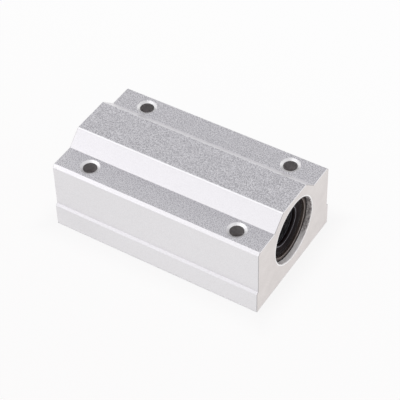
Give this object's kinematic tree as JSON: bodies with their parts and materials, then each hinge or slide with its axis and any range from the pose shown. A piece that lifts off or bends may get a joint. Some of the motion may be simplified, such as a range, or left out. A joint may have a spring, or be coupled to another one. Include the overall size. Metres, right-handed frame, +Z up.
{
  "type": "linear bearing block",
  "caption": "Long pillow block with recirculating ball bushings in one bore, sliding on a round shaft and bolted to a carriage plate.",
  "frame": {"origin": "middle of the flat base", "axes": "+X along the shaft, +Y across the block, +Z up from the base towards the hump"},
  "size_m": [0.07, 0.042, 0.028],
  "materials": {
    "anodised_aluminium": "sand-blasted, clear anodised, with milled ends",
    "spring_steel": "blackened",
    "bearing_steel": "ground",
    "ball_steel": "polished",
    "cage_resin": "moulded",
    "ring_steel": "stamped",
    "seal_rubber": "moulded"
  },
  "bodies": {
    "root": {"housing": "anodised_aluminium", "right_circlip": "spring_steel", "right_sleeve": "bearing_steel", "right_cage": "cage_resin", "right_balls_1": "ball_steel", "right_balls_2": "ball_steel", "right_balls_3": "ball_steel", "right_balls_4": "ball_steel", "right_outer_ring": "ring_steel", "right_inner_ring": "ring_steel", "right_outer_seal": "seal_rubber", "right_inner_seal": "seal_rubber", "left_circlip": "spring_steel", "left_sleeve": "bearing_steel", "left_cage": "cage_resin", "left_balls_1": "ball_steel", "left_balls_2": "ball_steel", "left_balls_3": "ball_steel", "left_balls_4": "ball_steel", "left_outer_ring": "ring_steel", "left_inner_ring": "ring_steel", "left_outer_seal": "seal_rubber", "left_inner_seal": "seal_rubber"}
  },
  "joints": []
}
